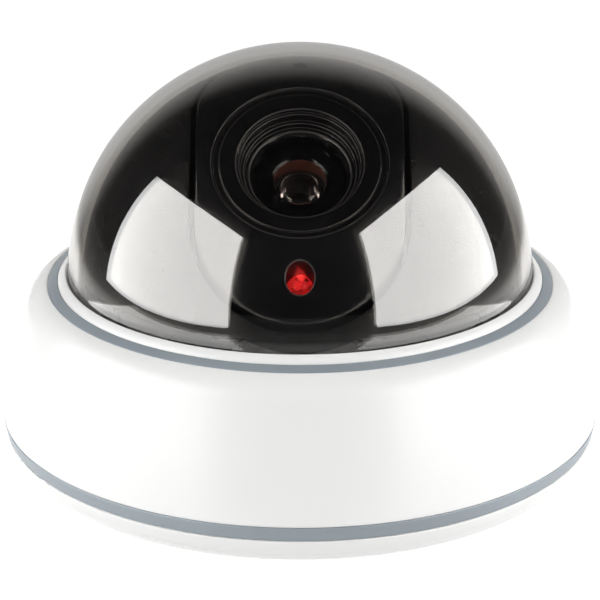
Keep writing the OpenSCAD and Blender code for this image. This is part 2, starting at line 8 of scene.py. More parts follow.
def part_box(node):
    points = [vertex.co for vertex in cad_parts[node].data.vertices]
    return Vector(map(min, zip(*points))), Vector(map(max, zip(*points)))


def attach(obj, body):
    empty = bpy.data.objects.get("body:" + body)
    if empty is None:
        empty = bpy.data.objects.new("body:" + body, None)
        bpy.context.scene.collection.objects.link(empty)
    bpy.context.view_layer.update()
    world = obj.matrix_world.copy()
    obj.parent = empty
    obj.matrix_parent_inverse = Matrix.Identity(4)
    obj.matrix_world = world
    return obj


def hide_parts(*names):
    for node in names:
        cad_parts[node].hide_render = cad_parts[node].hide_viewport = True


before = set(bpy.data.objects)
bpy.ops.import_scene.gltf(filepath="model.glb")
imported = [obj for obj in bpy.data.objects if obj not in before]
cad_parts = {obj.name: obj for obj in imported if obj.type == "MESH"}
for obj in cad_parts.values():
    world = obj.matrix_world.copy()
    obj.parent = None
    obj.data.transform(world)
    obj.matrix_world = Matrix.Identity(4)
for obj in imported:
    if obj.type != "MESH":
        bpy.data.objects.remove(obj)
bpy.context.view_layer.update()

# Shapes are drawn in millimetres and brought to metres when they join the frame.
MM = 0.001
UP = Vector((0, 0, 1))
RING_STEPS = 256
SMALL_STEPS = 64
FILLET_STEPS = 4
WELD_REACH = 0.001
FAR = 50
SHARP_ANGLE = math.radians(32)


def low_mm(node):
    """Lowest height of a CAD node."""
    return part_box(node)[0].z / MM


def high_mm(node):
    """Greatest height of a CAD node."""
    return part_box(node)[1].z / MM


def radius_mm(node):
    """How far a round CAD node reaches from the Z axis."""
    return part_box(node)[1].x / MM


# ---- Sizes, from the frame where a box tells them ----

BODY_R = radius_mm("body_shell")
SHELL_Z = low_mm("body_shell")
DECK_Z = high_mm("body_shell")
RIM_R = radius_mm("base_plate")
TRIM_Z = low_mm("lower_trim_ring")
RIM_H = TRIM_Z - 0.15
DECK_R = radius_mm("upper_trim_ring")
TRIM_GROOVE_Z = low_mm("upper_trim_ring")
TRIM_TOP_Z = high_mm("upper_trim_ring")
BEZEL_R = radius_mm("dome_bezel")
BEZEL_LOW_Z = low_mm("dome_bezel")
BEZEL_TOP_Z = high_mm("dome_bezel")
DOME_R = 46.25
DOME_WALL = 2.0
RUNNING_GAP = 0.06
DOME_Z = high_mm("dome_cover") - DOME_R
FLANGE_R = radius_mm("dome_cover")
FLANGE_Z = low_mm("dome_cover")
FLANGE_T = 1.5
SHELL_WALL = 2.0
LEDGE_R = 45.2
LEDGE_Z = 31.4
LEDGE_TOP_Z = 32.6

# Camera head, from the dome's centre: x across, y up the face, d along the lens axis
LENS_ELEVATION = 51
LINER_R = 43.2
LINER_T = 1.6
LINER_CUT = 3.05
COVER_R = 43.45
COVER_T = 1.6
COVER_HALF_W = 19.2
COVER_LOW = -29.5
COVER_HIGH = 32.6
GROOVE_W = 0.9
SKIRT_T = 1.4
RETURN_T = 1.2
RETURN_D = 22
WELL_HOLE_R = 16.2
BOSS_PLACES = [(22.9, 14), (-22.9, 14), (22.9, -10), (-22.9, -10)]
WELL_BOSS_PLACES = [(9, 17.5), (-9, 17.5), (9, -17.5), (-9, -17.5)]
LED_Y = -22.6
LED_R = 2.5
LED_HOLE_R = 2.6
LED_FLANGE_R = 2.9
LED_FLANGE_T = 1.0
LED_BASE_D = 28.1
LED_TIP_D = 35.5
COLLAR_LOW_D = 30.0
COLLAR_T = 1.0
EYE_Y = 24.2
EYE_R = 1.4
PIN_R = 2.0
EAR_IN_X = 39.9
EAR_OUT_X = 42.4
EAR_R = 6.0

AT_ORIGIN = Matrix.Identity(4)
AT_DOME_CENTRE = Matrix.Translation((0, 0, DOME_Z))
HEAD_TURN = math.radians(90 - LENS_ELEVATION)
ON_LENS_AXIS = AT_DOME_CENTRE @ Matrix.Rotation(HEAD_TURN, 4, "X")


# ---- Outlines ----

def arc(start, end, bulge, steps):
    """Points of the circular arc from start to end that bulges to the right of that direction."""
    start, end = Vector(start), Vector(end)
    chord = (end - start).length
    along = (end - start) / chord
    out = Vector((along.y, -along.x))
    radius = (chord * chord / 4 + bulge * bulge) / (2 * bulge)
    half = math.asin(chord / 2 / radius)
    centre = (start + end) / 2 - out * (radius - bulge)
    points = []
    for i in range(steps + 1):
        angle = -half + 2 * half * i / steps
        points.append(centre + radius * (out * math.cos(angle) + along * math.sin(angle)))
    return [tuple(p) for p in points]


def quarter(radius, centre_z, first_deg, last_deg, steps):
    """Points of a circle about (0, centre_z), from one elevation to another."""
    turns = [math.radians(first_deg + (last_deg - first_deg) * i / steps) for i in range(steps + 1)]
    return [(radius * math.cos(a), centre_z + radius * math.sin(a)) for a in turns]


def fillet(before, corner, after, radius):
    """Points of the arc that rounds one corner, kept within half of each side."""
    here = Vector(corner[:2])
    back = Vector(before[:2]) - here
    ahead = Vector(after[:2]) - here
    half = back.angle(ahead) / 2
    reach = min(radius / math.tan(half), 0.49 * back.length, 0.49 * ahead.length)
    middle = here + (back.normalized() + ahead.normalized()).normalized() * (reach / math.cos(half))
    start = here + back.normalized() * reach - middle
    end = here + ahead.normalized() * reach - middle
    sweep = math.atan2(start.x * end.y - start.y * end.x, start.dot(end))
    turns = [Matrix.Rotation(sweep * i / FILLET_STEPS, 2) for i in range(FILLET_STEPS + 1)]
    return [tuple(middle + turn @ start) for turn in turns]


def rounded(corners):
    """Closed outline in which each corner (x, y, radius) has become an arc, and (x, y) stays sharp."""
    points = []
    for i, corner in enumerate(corners):
        if len(corner) == 3:
            after = corners[(i + 1) % len(corners)]
            points += fillet(corners[i - 1], corner, after, corner[2])
        else:
            points.append(tuple(corner))
    return points


def stadium_reach(half_w, low, high, angle):
    """Distance from the origin to the edge of an upright slot with round ends."""
    x, y = math.cos(angle), math.sin(angle)
    if abs(x) > 1e-9:
        side = half_w / abs(x)
        if low + half_w <= side * y <= high - half_w:
            return side
    centre = high - half_w if y > 0 else low + half_w
    along = centre * y
    return along + math.sqrt(along * along - centre * centre + half_w * half_w)


def stadium(half_w, low, high, steps):
    """Closed outline of an upright slot with round ends, evenly spaced along its edge."""
    straight = high - low - 2 * half_w
    half_length = straight + math.pi * half_w
    points = []
    for i in range(steps):
        half, along = divmod(2 * half_length * i / steps, half_length)
        x, y = half_w, low + half_w + along
        if along > straight:
            angle = (along - straight) / half_w
            x, y = half_w * math.cos(angle), high - half_w + half_w * math.sin(angle)
        # The second half of the outline is the first one turned half a turn.
        points.append((-x, low + high - y) if half else (x, y))
    return points


def circle(radius, centre_y, steps):
    angles = [math.tau * i / steps for i in range(steps)]
    return [(radius * math.cos(a), centre_y + radius * math.sin(a)) for a in angles]


# ---- Solids ----

def add_object(name, shape, place):
    """Makes an object, still in millimetres, from a bmesh."""
    bmesh.ops.recalc_face_normals(shape, faces=shape.faces)
    mesh = bpy.data.meshes.new(name)
    shape.to_mesh(mesh)
    shape.free()
    mesh.transform(place)
    piece = bpy.data.objects.new(name, mesh)
    bpy.context.scene.collection.objects.link(piece)
    return piece


def bridge(shape, ring, other):
    """Faces between two rings of the same length, or between a ring and a single point."""
    count = max(len(ring), len(other))
    for i in range(count if count > 1 else 0):
        j = (i + 1) % count
        corners = [ring[i % len(ring)], ring[j % len(ring)], other[j % len(other)], other[i % len(other)]]
        shape.faces.new(list(dict.fromkeys(corners)))


def revolved(name, outline, place=AT_ORIGIN, steps=RING_STEPS):
    """Solid of revolution about Z, from a closed outline of radius and height."""
    shape = bmesh.new()
    rings = []
    for radius, height in outline:
        points = circle(radius, 0, steps) if radius > 0 else [(0, 0)]
        rings.append([shape.verts.new((*point, height)) for point in points])
    for i, ring in enumerate(rings):
        bridge(shape, ring, rings[(i + 1) % len(rings)])
    return add_object(name, shape, place)


def lofted(name, loops, place):
    """Tube through closed loops of equal length, whose last loop joins its first."""
    shape = bmesh.new()
    rings = [[shape.verts.new(p) for p in loop] for loop in loops]
    for i, ring in enumerate(rings):
        bridge(shape, ring, rings[(i + 1) % len(rings)])
    return add_object(name, shape, place)


def sector(r_in, r_out, low, height, first_deg, sweep_deg, place=AT_ORIGIN):
    """Block between two radii and two angles."""
    shape = bmesh.new()
    steps = max(2, round(sweep_deg / 2))
    sections = []
    for i in range(steps + 1):
        angle = math.radians(first_deg + sweep_deg * i / steps)
        ray = Vector((math.cos(angle), math.sin(angle), 0))
        corners = [(r_in, low), (r_out, low), (r_out, low + height), (r_in, low + height)]
        sections.append([shape.verts.new(ray * r + UP * z) for r, z in corners])
    for section, after in zip(sections, sections[1:]):
        bridge(shape, section, after)
    shape.faces.new(sections[0])
    shape.faces.new(sections[-1])
    return add_object("sector", shape, place)


def rod(radius, low, high, place=AT_ORIGIN, steps=SMALL_STEPS):
    return revolved("rod", [(0, low), (radius, low), (radius, high), (0, high)], place, steps)


def block(low, high, place=AT_ORIGIN):
    """Box between two corners."""
    shape = bmesh.new()
    bmesh.ops.create_cube(shape, size=1)
    size = Vector(high) - Vector(low)
    middle = (Vector(high) + Vector(low)) / 2
    fit = Matrix.Translation(middle) @ Matrix.Diagonal((*size, 1))
    bmesh.ops.transform(shape, matrix=fit, verts=shape.verts)
    return add_object("block", shape, place)


def spun(angle_deg, place=AT_ORIGIN):
    """A place turned about Z."""
    return Matrix.Rotation(math.radians(angle_deg), 4, "Z") @ place


def shifted(x, y, z, place=AT_ORIGIN):
    """A place moved along its own axes."""
    return place @ Matrix.Translation((x, y, z))


def around(count, radius=0, first_deg=0):
    """Places evenly round the Z axis, at a radius."""
    return [shifted(radius, 0, 0, spun(first_deg + 360 / count * i)) for i in range(count)]


def weld(mesh):
    """Joins points that a boolean leaves almost on top of each other, and mends the slivers between them."""
    shape = bmesh.new()
    shape.from_mesh(mesh)
    bmesh.ops.remove_doubles(shape, verts=shape.verts, dist=WELD_REACH)
    bmesh.ops.dissolve_degenerate(shape, edges=shape.edges, dist=WELD_REACH)
    bmesh.ops.holes_fill(shape, edges=shape.edges)
    shape.to_mesh(mesh)
    shape.free()


def combine(piece, tools, operation):
    """Fuses tools to a piece, or cuts them out of it, and removes them."""
    for tool in tools:
        change = piece.modifiers.new("combine", "BOOLEAN")
        change.operation = operation
        change.solver = "EXACT"
        change.object = tool
    graph = bpy.context.evaluated_depsgraph_get()
    mesh = bpy.data.meshes.new_from_object(piece.evaluated_get(graph))
    piece.modifiers.clear()
    weld(mesh)
    piece.data = mesh
    for tool in tools:
        bpy.data.objects.remove(tool)


def fuse(piece, tools):
    combine(piece, tools, "UNION")


def cut(piece, tools):
    combine(piece, tools, "DIFFERENCE")


def join_frame(piece, body, material, stands_for=()):
    """Brings a finished piece to metres, shades it, and lets it ride on its body."""
    mesh = piece.data
    mesh.transform(Matrix.Scale(MM, 4))
    mesh.materials.clear()
    mesh.materials.append(material)
    mesh.shade_smooth()
    mesh.set_sharp_from_angle(angle=SHARP_ANGLE)
    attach(piece, body)
    if stands_for:
        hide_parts(*stands_for)
    return piece


# ---- Material building blocks ----

def start_material(name):
    material = bpy.data.materials.new(name)
    material.use_nodes = True
    tree = material.node_tree
    return material, tree, tree.nodes["Principled BSDF"]


def add_node(tree, kind, inputs=None, **settings):
    made = tree.nodes.new(kind)
    for key, value in settings.items():
        setattr(made, key, value)
    for key, value in (inputs or {}).items():
        made.inputs[key].default_value = value
    return made


def rgba(colour):
    return (*colour, 1.0)


def object_point(tree, stretch=(1, 1, 1)):
    """The surface point in the piece's own frame, optionally stretched."""
    point = add_node(tree, "ShaderNodeTexCoord").outputs["Object"]
    scale = add_node(tree, "ShaderNodeMapping", {"Scale": stretch})
    tree.links.new(point, scale.inputs["Vector"])
    return scale.outputs["Vector"]


def noise(tree, point, scale, detail=3.0):
    """Noise from 0 to 1, whose grain is about 1 / scale metres."""
    made = add_node(tree, "ShaderNodeTexNoise", {"Scale": scale, "Detail": detail})
    tree.links.new(point, made.inputs["Vector"])
    return made.outputs["Fac"]


def spread(tree, value, low, high, from_low=0.3, from_high=0.7):
    """Maps a noise to a range of numbers."""
    made = add_node(tree, "ShaderNodeMapRange", {
        "From Min": from_low, "From Max": from_high, "To Min": low, "To Max": high})
    tree.links.new(value, made.inputs["Value"])
    return made.outputs["Result"]


def between(tree, factor, first, second):
    """Colour mixed from two by a factor."""
    made = add_node(tree, "ShaderNodeMix", data_type="RGBA")
    # The colour sockets share their names with the number sockets, so they are told apart by place.
    tree.links.new(factor, made.inputs[0])
    made.inputs[6].default_value = rgba(first)
    made.inputs[7].default_value = rgba(second)
    return made.outputs[2]


def bump(tree, shader, height, strength, distance):
    made = add_node(tree, "ShaderNodeBump", {"Strength": strength, "Distance": distance})
    tree.links.new(height, made.inputs["Height"])
    tree.links.new(made.outputs["Normal"], shader.inputs["Normal"])


def moulded_plastic(name, colour, shade, roughness, depth_mm, grain_mm=0.3, specular=0.5):
    """Moulded plastic: a slight drift of colour, uneven gloss and a fine grain."""
    material, tree, shader = start_material(name)
    point = object_point(tree)
    drift = noise(tree, point, 45, 2)
    fine = noise(tree, point, 1000 / grain_mm, 4)
    tree.links.new(between(tree, spread(tree, drift, 0, 1), colour, shade), shader.inputs["Base Color"])
    tree.links.new(spread(tree, fine, roughness[0], roughness[1]), shader.inputs["Roughness"])
    bump(tree, shader, fine, 0.5, depth_mm * MM)
    shader.inputs["Specular IOR Level"].default_value = specular
    return material


def metal(name, colour, shade, roughness, stretch=(1, 1, 12)):
    """Metal with a drawn grain."""
    material, tree, shader = start_material(name)
    point = object_point(tree, stretch)
    grain = noise(tree, point, 900, 4)
    tree.links.new(between(tree, spread(tree, grain, 0, 1), colour, shade), shader.inputs["Base Color"])
    tree.links.new(spread(tree, grain, roughness[0], roughness[1]), shader.inputs["Roughness"])
    shader.inputs["Metallic"].default_value = 1.0
    bump(tree, shader, grain, 0.4, 0.01 * MM)
    return material


def let_lamps_through(tree, shader, tint):
    """Lets lamp light pass straight through glass, so that what is behind it is lit."""
    output = tree.nodes["Material Output"]
    path = add_node(tree, "ShaderNodeLightPath")
    # A lamp ray is tinted at both faces, so each face takes the root of the tint.
    clear = add_node(tree, "ShaderNodeBsdfTransparent", {"Color": rgba([math.sqrt(c) for c in tint])})
    mix = add_node(tree, "ShaderNodeMixShader")
    tree.links.new(path.outputs["Is Shadow Ray"], mix.inputs["Fac"])
    tree.links.new(shader.outputs["BSDF"], mix.inputs[1])
    tree.links.new(clear.outputs["BSDF"], mix.inputs[2])
    tree.links.new(mix.outputs["Shader"], output.inputs["Surface"])


def clear_solid(name, tint, shade, roughness, ior, wave_mm, depth_mm):
    """Clear solid with a faint waviness. One that is not perfectly polished has a few duller spots."""
    material, tree, shader = start_material(name)
    point = object_point(tree)
    wave = noise(tree, point, 1000 / wave_mm, 2)
    dull = noise(tree, point, 160, 5)
    tree.links.new(between(tree, spread(tree, dull, 0, 1), tint, shade), shader.inputs["Base Color"])
    if roughness:
        tree.links.new(spread(tree, dull, *roughness, 0.55, 0.75), shader.inputs["Roughness"])
    else:
        shader.inputs["Roughness"].default_value = 0
    bump(tree, shader, wave, 0.5, depth_mm * MM)
    shader.inputs["IOR"].default_value = ior
    shader.inputs["Transmission Weight"].default_value = 1.0
    let_lamps_through(tree, shader, tint)
    return material


# ---- Materials ----

def white_abs():
    return moulded_plastic("white_abs", (0.84, 0.84, 0.83), (0.83, 0.83, 0.82), (0.20, 0.26),
                           grain_mm=0.8, depth_mm=0.0003, specular=0.12)


def grey_trim():
    return moulded_plastic("grey_trim", (0.27, 0.31, 0.34), (0.24, 0.275, 0.305), (0.34, 0.44),
                           grain_mm=0.4, depth_mm=0.003)


def smoked_acrylic():
    return clear_solid("smoked_acrylic", (0.56, 0.54, 0.51), (0.54, 0.52, 0.49), None,
                       ior=1.49, wave_mm=9, depth_mm=0.0008)


def black_shroud():
    return moulded_plastic("black_shroud", (0.008, 0.008, 0.009), (0.006, 0.006, 0.007), (0.22, 0.28),
                           grain_mm=5, depth_mm=0.0001, specular=0.25)


def black_cover():
    return moulded_plastic("black_cover", (0.006, 0.006, 0.0075), (0.004, 0.004, 0.0055), (0.12, 0.16),
                           grain_mm=0.5, depth_mm=0.0002)


def black_well():
    return moulded_plastic("black_well", (0.006, 0.006, 0.007), (0.004, 0.004, 0.005), (0.08, 0.12),
                           depth_mm=0.0002)


def painted_edge_highlight():
    """Black moulding painted a little paler than its faces: a painted highlight for its rounded edges."""
    return moulded_plastic("painted_edge_highlight", (0.045, 0.045, 0.047), (0.030, 0.030, 0.032), (0.16, 0.24),
                           depth_mm=0.0004)


def lens_black():
    return moulded_plastic("lens_black", (0.004, 0.004, 0.0045), (0.003, 0.003, 0.0035), (0.06, 0.10),
                           depth_mm=0.0003, specular=0.35)


def flocking_painted_reflection():
    """Anti-glare coat inside the lens: black, and brown towards the top as a painted reflection."""
    material, tree, shader = start_material("flocking_painted_reflection")
    point = object_point(tree)
    parts = add_node(tree, "ShaderNodeSeparateXYZ")
    tree.links.new(point, parts.inputs["Vector"])
    # Above a set height the lining turns brown: a painted reflection.
    painted_light = spread(tree, parts.outputs["Z"], 0, 1, 0.0612, 0.0624)
    colour = between(tree, painted_light, (0.004, 0.003, 0.003), (0.10, 0.026, 0.016))
    tree.links.new(colour, shader.inputs["Base Color"])
    fine = noise(tree, point, 5000, 3)
    tree.links.new(spread(tree, fine, 0.40, 0.55), shader.inputs["Roughness"])
    bump(tree, shader, fine, 0.5, 0.006 * MM)
    return material


def coated_glass():
    """Optical glass with a faint warm cast."""
    return clear_solid("coated_glass", (0.97, 0.93, 0.93), (0.95, 0.91, 0.91), (0.0, 0.01),
                       ior=1.6, wave_mm=3, depth_mm=0.0002)


def filter_glass():
    return clear_solid("filter_glass", (0.55, 0.75, 0.80), (0.50, 0.70, 0.76), (0.0, 0.02),
                       ior=1.52, wave_mm=4, depth_mm=0.0004)


def ring_metal():
    return metal("ring_metal", (0.035, 0.035, 0.037), (0.022, 0.022, 0.024), (0.14, 0.22))


def red_epoxy():
    """Clear red epoxy of the lamp."""
    return clear_solid("red_epoxy", (0.95, 0.012, 0.020), (0.90, 0.008, 0.016), (0.02, 0.08),
                       ior=1.5, wave_mm=1.2, depth_mm=0.01)


def glowing(name, dark, light, cells, strength):
    """Red lamp part whose light breaks into facets."""
    material, tree, shader = start_material(name)
    facets = add_node(tree, "ShaderNodeTexVoronoi", {"Scale": cells})
    tree.links.new(object_point(tree), facets.inputs["Vector"])
    shade = add_node(tree, "ShaderNodeSeparateColor")
    tree.links.new(facets.outputs["Color"], shade.inputs["Color"])
    glow = between(tree, shade.outputs["Red"], dark, light)
    body = between(tree, shade.outputs["Red"], [0.05 * c for c in dark], [0.05 * c for c in light])
    tree.links.new(body, shader.inputs["Base Color"])
    tree.links.new(glow, shader.inputs["Emission Color"])
    tree.links.new(spread(tree, shade.outputs["Green"], 0.25, 0.45), shader.inputs["Roughness"])
    shader.inputs["Emission Strength"].default_value = strength
    return material


def lit_cup():
    return glowing("lit_cup", (0.04, 0.0, 0.001), (0.42, 0.0, 0.006), 2200, 0.7)


def lit_die():
    return glowing("lit_die", (1.0, 0.20, 0.12), (1.0, 0.45, 0.32), 4000, 900)


def black_rubber():
    return moulded_plastic("black_rubber", (0.022, 0.022, 0.022), (0.014, 0.014, 0.014), (0.60, 0.80),
                           depth_mm=0.02)


def circuit_board():
    """Green solder mask over copper tracks, with pale pads."""
    material, tree, shader = start_material("circuit_board")
    point = object_point(tree)
    tracks = add_node(tree, "ShaderNodeTexBrick", {
        "Scale": 180.0, "Mortar Size": 0.06, "Mortar Smooth": 0.1, "Brick Width": 0.9, "Row Height": 0.4})
    tree.links.new(point, tracks.inputs["Vector"])
    tracks.inputs["Color1"].default_value = rgba((0.006, 0.095, 0.035))
    tracks.inputs["Color2"].default_value = rgba((0.006, 0.080, 0.030))
    tracks.inputs["Mortar"].default_value = rgba((0.012, 0.165, 0.062))
    tree.links.new(tracks.outputs["Color"], shader.inputs["Base Color"])
    fine = noise(tree, point, 1500, 3)
    tree.links.new(spread(tree, fine, 0.25, 0.38), shader.inputs["Roughness"])
    bump(tree, shader, tracks.outputs["Fac"], 0.4, 0.03 * MM)
    return material


def chip_black():
    return moulded_plastic("chip_black", (0.016, 0.016, 0.017), (0.011, 0.011, 0.012), (0.45, 0.60),
                           grain_mm=0.15, depth_mm=0.01)


def sensor_chip():
    """Image chip: dark with a faint purple grid."""
    material, tree, shader = start_material("sensor_chip")
    point = object_point(tree)
    cells = add_node(tree, "ShaderNodeTexChecker", {"Scale": 4000.0})
    tree.links.new(point, cells.inputs["Vector"])
    cells.inputs["Color1"].default_value = rgba((0.03, 0.02, 0.06))
    cells.inputs["Color2"].default_value = rgba((0.02, 0.03, 0.05))
    tree.links.new(cells.outputs["Color"], shader.inputs["Base Color"])
    tree.links.new(spread(tree, noise(tree, point, 900), 0.12, 0.22), shader.inputs["Roughness"])
    return material


def bright_steel():
    return metal("bright_steel", (0.62, 0.62, 0.63), (0.50, 0.50, 0.52), (0.22, 0.36))


def can_metal():
    return metal("can_metal", (0.72, 0.73, 0.75), (0.62, 0.63, 0.66), (0.18, 0.30))


def pale_nylon():
    return moulded_plastic("pale_nylon", (0.74, 0.71, 0.60), (0.68, 0.64, 0.53), (0.42, 0.55),
                           grain_mm=0.4, depth_mm=0.006)


def terminal_green():
    return moulded_plastic("terminal_green", (0.03, 0.23, 0.09), (0.02, 0.18, 0.07), (0.35, 0.48),
                           grain_mm=0.4, depth_mm=0.005)


def carriage_black():
    return moulded_plastic("carriage_black", (0.018, 0.018, 0.019), (0.012, 0.012, 0.013), (0.40, 0.52),
                           grain_mm=0.4, depth_mm=0.008)


def light_cell():
    return moulded_plastic("light_cell", (0.20, 0.055, 0.02), (0.12, 0.03, 0.012), (0.15, 0.30),
                           depth_mm=0.004)


# ---- Outer casing ----

def shell_outline(inset):
    """Line of the shell from its lower edge to the deck, moved in by inset."""
    taper = 5.5
    shoulder_z = 31.3
    foot = (BODY_R - inset, SHELL_Z)
    shoulder = (BODY_R - taper - inset, shoulder_z - inset / 3)
    deck = (DECK_R - inset / 3, DECK_Z - inset)
    return arc(foot, shoulder, 0.36, 20)[:-1] + arc(shoulder, deck, 0.71, 10)


def make_body_shell(material):
    """Drum with a ledge for the dome, a groove for the upper ring, and three bayonet lugs inside."""
    lug_r = 55.65
    lug_h = 1.19
    outer = shell_outline(0)
    inner = [p for p in shell_outline(SHELL_WALL) if p[1] < LEDGE_Z]
    corners = [(*outer[0], 0.35), *outer[1:-1], (*outer[-1], 0.2)]
    corners += [
        (DECK_R, TRIM_GROOVE_Z, 0.1),
        (BEZEL_R + RUNNING_GAP, TRIM_GROOVE_Z, 0.15),
        (BEZEL_R + RUNNING_GAP, LEDGE_TOP_Z, 0.2),
        (LEDGE_R, LEDGE_TOP_Z, 0.25),
        (LEDGE_R, LEDGE_Z, 0.25),
    ]
    corners += inner[:0:-1]
    corners.append((*inner[0], 0.3))
    piece = revolved("body_shell_visual", rounded(corners))
    reach = BODY_R - SHELL_WALL + 0.2
    fuse(piece, [sector(lug_r, reach, SHELL_Z + 0.01, lug_h, 1.5, 18, place) for place in around(3)])
    return join_frame(piece, "shell", material, ["body_shell"])


def make_base_plate(material):
    """Round plate with a rim, a spigot with three hooks, screw bosses, board posts, ribs and a hub."""
    floor_t = 2.2
    bore_r = 8.0
    hub_r = 12.0
    hub_z = 19.0
    seat_r = 14.0
    seat_z = 14.0
    groove_r = 11.2
    groove_low = 17.15
    groove_high = 18.25
    spigot_r = 55.3
    spigot_t = 1.8
    spigot_z = 12.5
    hook_z = 10.4
    hook_h = 1.8
    hook_deg = 24
    stop_half_w = 0.97
    screw_circle_r = 45
    screw_r = 2.25
    post_circle_r = 31
    rib_half_w = 0.6
    rim = arc((BODY_R - 5, 0), (RIM_R, RIM_H), 0.95, 14)
    corners = [(bore_r, 0, 0.4), (*rim[0], 0.4), *rim[1:-1], (*rim[-1], 0.35)]
    corners += [
        (RIM_R - 2, RIM_H, 0.2),
        (RIM_R - 2.8, floor_t, 0.3),
        (spigot_r, floor_t, 0.3),
        (spigot_r, spigot_z, 0.4),
        (spigot_r - spigot_t, spigot_z, 0.4),
        (spigot_r - spigot_t, floor_t, 0.4),
        (seat_r, floor_t, 0.4),
        (seat_r, seat_z, 0.2),
        (hub_r, seat_z, 0.1),
        (hub_r, groove_low),
        (groove_r, groove_low),
        (groove_r, groove_high),
        (hub_r, groove_high),
        (hub_r, hub_z, 0.3),
        (bore_r, hub_z, 0.3),
    ]
    piece = revolved("base_plate_visual", rounded(corners))
    screw_places = around(3, screw_circle_r, 90)
    post_places = around(4, post_circle_r, 45)
    additions = []
    for hook_place, screw_place in zip(around(3), screw_places):
        additions.append(sector(spigot_r - 1, spigot_r + 1.4, hook_z, hook_h, 0, hook_deg, hook_place))
        low = (spigot_r - 0.8, -stop_half_w, 9)
        additions.append(block(low, (spigot_r + 1.2, stop_half_w, 11.3), hook_place))
        additions.append(rod(5, floor_t - 1, 4.5, screw_place))
    additions += [rod(3, floor_t - 1, 5.5, place) for place in post_places]
    for place in around(6):
        additions.append(block((13, -rib_half_w, floor_t - 1), (54, rib_half_w, 5), place))
    fuse(piece, additions)
    holes = [rod(screw_r, -1, 6, place) for place in screw_places]
    holes += [rod(1, floor_t + 0.6, 8, place) for place in post_places]
    cut(piece, holes)
    return join_frame(piece, "base", material, ["base_plate"])


def make_lower_trim(material):
    inner_r = BODY_R - 3
    corners = [
        (inner_r, TRIM_Z, 0.2),
        (RIM_R, TRIM_Z, 0.25),
        (BODY_R - 0.02, SHELL_Z, 0.12),
        (inner_r, SHELL_Z, 0.2),
    ]
    piece = revolved("lower_trim_visual", rounded(corners))
    return join_frame(piece, "shell", material, ["lower_trim_ring"])


def make_upper_trim(material):
    inner_r = BEZEL_R + RUNNING_GAP
    corners = [
        (inner_r, TRIM_GROOVE_Z, 0.1),
        (DECK_R, TRIM_GROOVE_Z, 0.1),
        (DECK_R, DECK_Z - 0.1, 0.25),
        (inner_r, TRIM_TOP_Z, 0.12),
    ]
    piece = revolved("upper_trim_visual", rounded(corners))
    return join_frame(piece, "shell", material, ["upper_trim_ring"])


# ---- Dome ----

def make_dome(material):
    """Half sphere over a short straight wall, with a flange that rests on the shell's ledge."""
    inner_r = DOME_R - DOME_WALL
    outer = quarter(DOME_R, DOME_Z, 0, 90, 96)
    outer[-1] = (0, DOME_Z + DOME_R)
    inner = quarter(inner_r, DOME_Z, 90, 0, 96)
    inner[0] = (0, DOME_Z + inner_r)
    corners = [
        (inner_r, FLANGE_Z, 0.2),
        (FLANGE_R, FLANGE_Z, 0.2),
        (FLANGE_R, FLANGE_Z + FLANGE_T, 0.2),
        (DOME_R, FLANGE_Z + FLANGE_T, 0.2),
    ]
    piece = revolved("dome_visual", rounded(corners + outer + inner))
    return join_frame(piece, "dome", material, ["dome_cover"])


def make_bezel(material):
    inner_r = DOME_R + 0.1
    top = arc((BEZEL_R, TRIM_TOP_Z), (DOME_R + 0.4, BEZEL_TOP_Z), 0.2, 8)
    corners = [(inner_r, BEZEL_LOW_Z, 0.1), (BEZEL_R, BEZEL_LOW_Z, 0.15)]
    corners += [(*top[0], 0.2), *top[1:-1], (*top[-1], 0.15)]
    corners.append((inner_r, BEZEL_TOP_Z - 0.3, 0.1))
    piece = revolved("dome_bezel_visual", rounded(corners))
    return join_frame(piece, "dome", material, ["dome_bezel"])


# ---- Camera head ----

def liner_polar(radius, angle, height):
    """Angle from the lens axis at which the shroud's sphere passes a world height, in one direction."""
    side = math.sin(angle) * math.sin(HEAD_TURN)
    ahead = math.cos(HEAD_TURN)
    return math.atan2(side, ahead) + math.acos(height / radius / math.hypot(side, ahead))


def on_sphere(radius, polar, angle):
    flat = radius * math.sin(polar)
    return (flat * math.cos(angle), flat * math.sin(angle), radius * math.cos(polar))


def liner_loops(slot, back, inner_r):
    """Loops of the shroud's wall: up the slot, over its rounded lip, down the outside and back inside."""
    steps = 320
    angles = [math.tau * i / steps for i in range(steps)]
    lip = 0.35

    def wall(outline, d):
        reaches = [stadium_reach(*outline, angle) for angle in angles]
        return [(r * math.cos(a), r * math.sin(a), d) for r, a in zip(reaches, angles)]

    def lip_loop(turn):
        radius = LINER_R - lip * (1 - math.sin(turn))
        loop = []
        for angle in angles:
            reach = stadium_reach(*slot, angle) + lip * (1 - math.cos(turn))
            d = math.sqrt(radius ** 2 - reach ** 2)
            loop.append((reach * math.cos(angle), reach * math.sin(angle), d))
        return loop

    def sphere(radius, first, last, count):
        made = []
        for k in range(count + 1):
            t = k / count
            made.append([on_sphere(radius, first(a) * (1 - t) + last(a) * t, a) for a in angles])
        return made

    loops = [wall(slot, RETURN_D), wall(slot, RETURN_D + 4)]
    loops += [lip_loop(math.radians(90 * k / FILLET_STEPS)) for k in range(FILLET_STEPS + 1)]
    loops += sphere(LINER_R, lambda a: math.asin((stadium_reach(*slot, a) + 2 * lip) / LINER_R),
                    lambda a: liner_polar(LINER_R, a, 0), 56)
    loops += sphere(inner_r, lambda a: liner_polar(inner_r, a, 0),
                    lambda a: math.asin(stadium_reach(*back, a) / inner_r), 40)
    loops.append(wall(back, RETURN_D))
    return loops


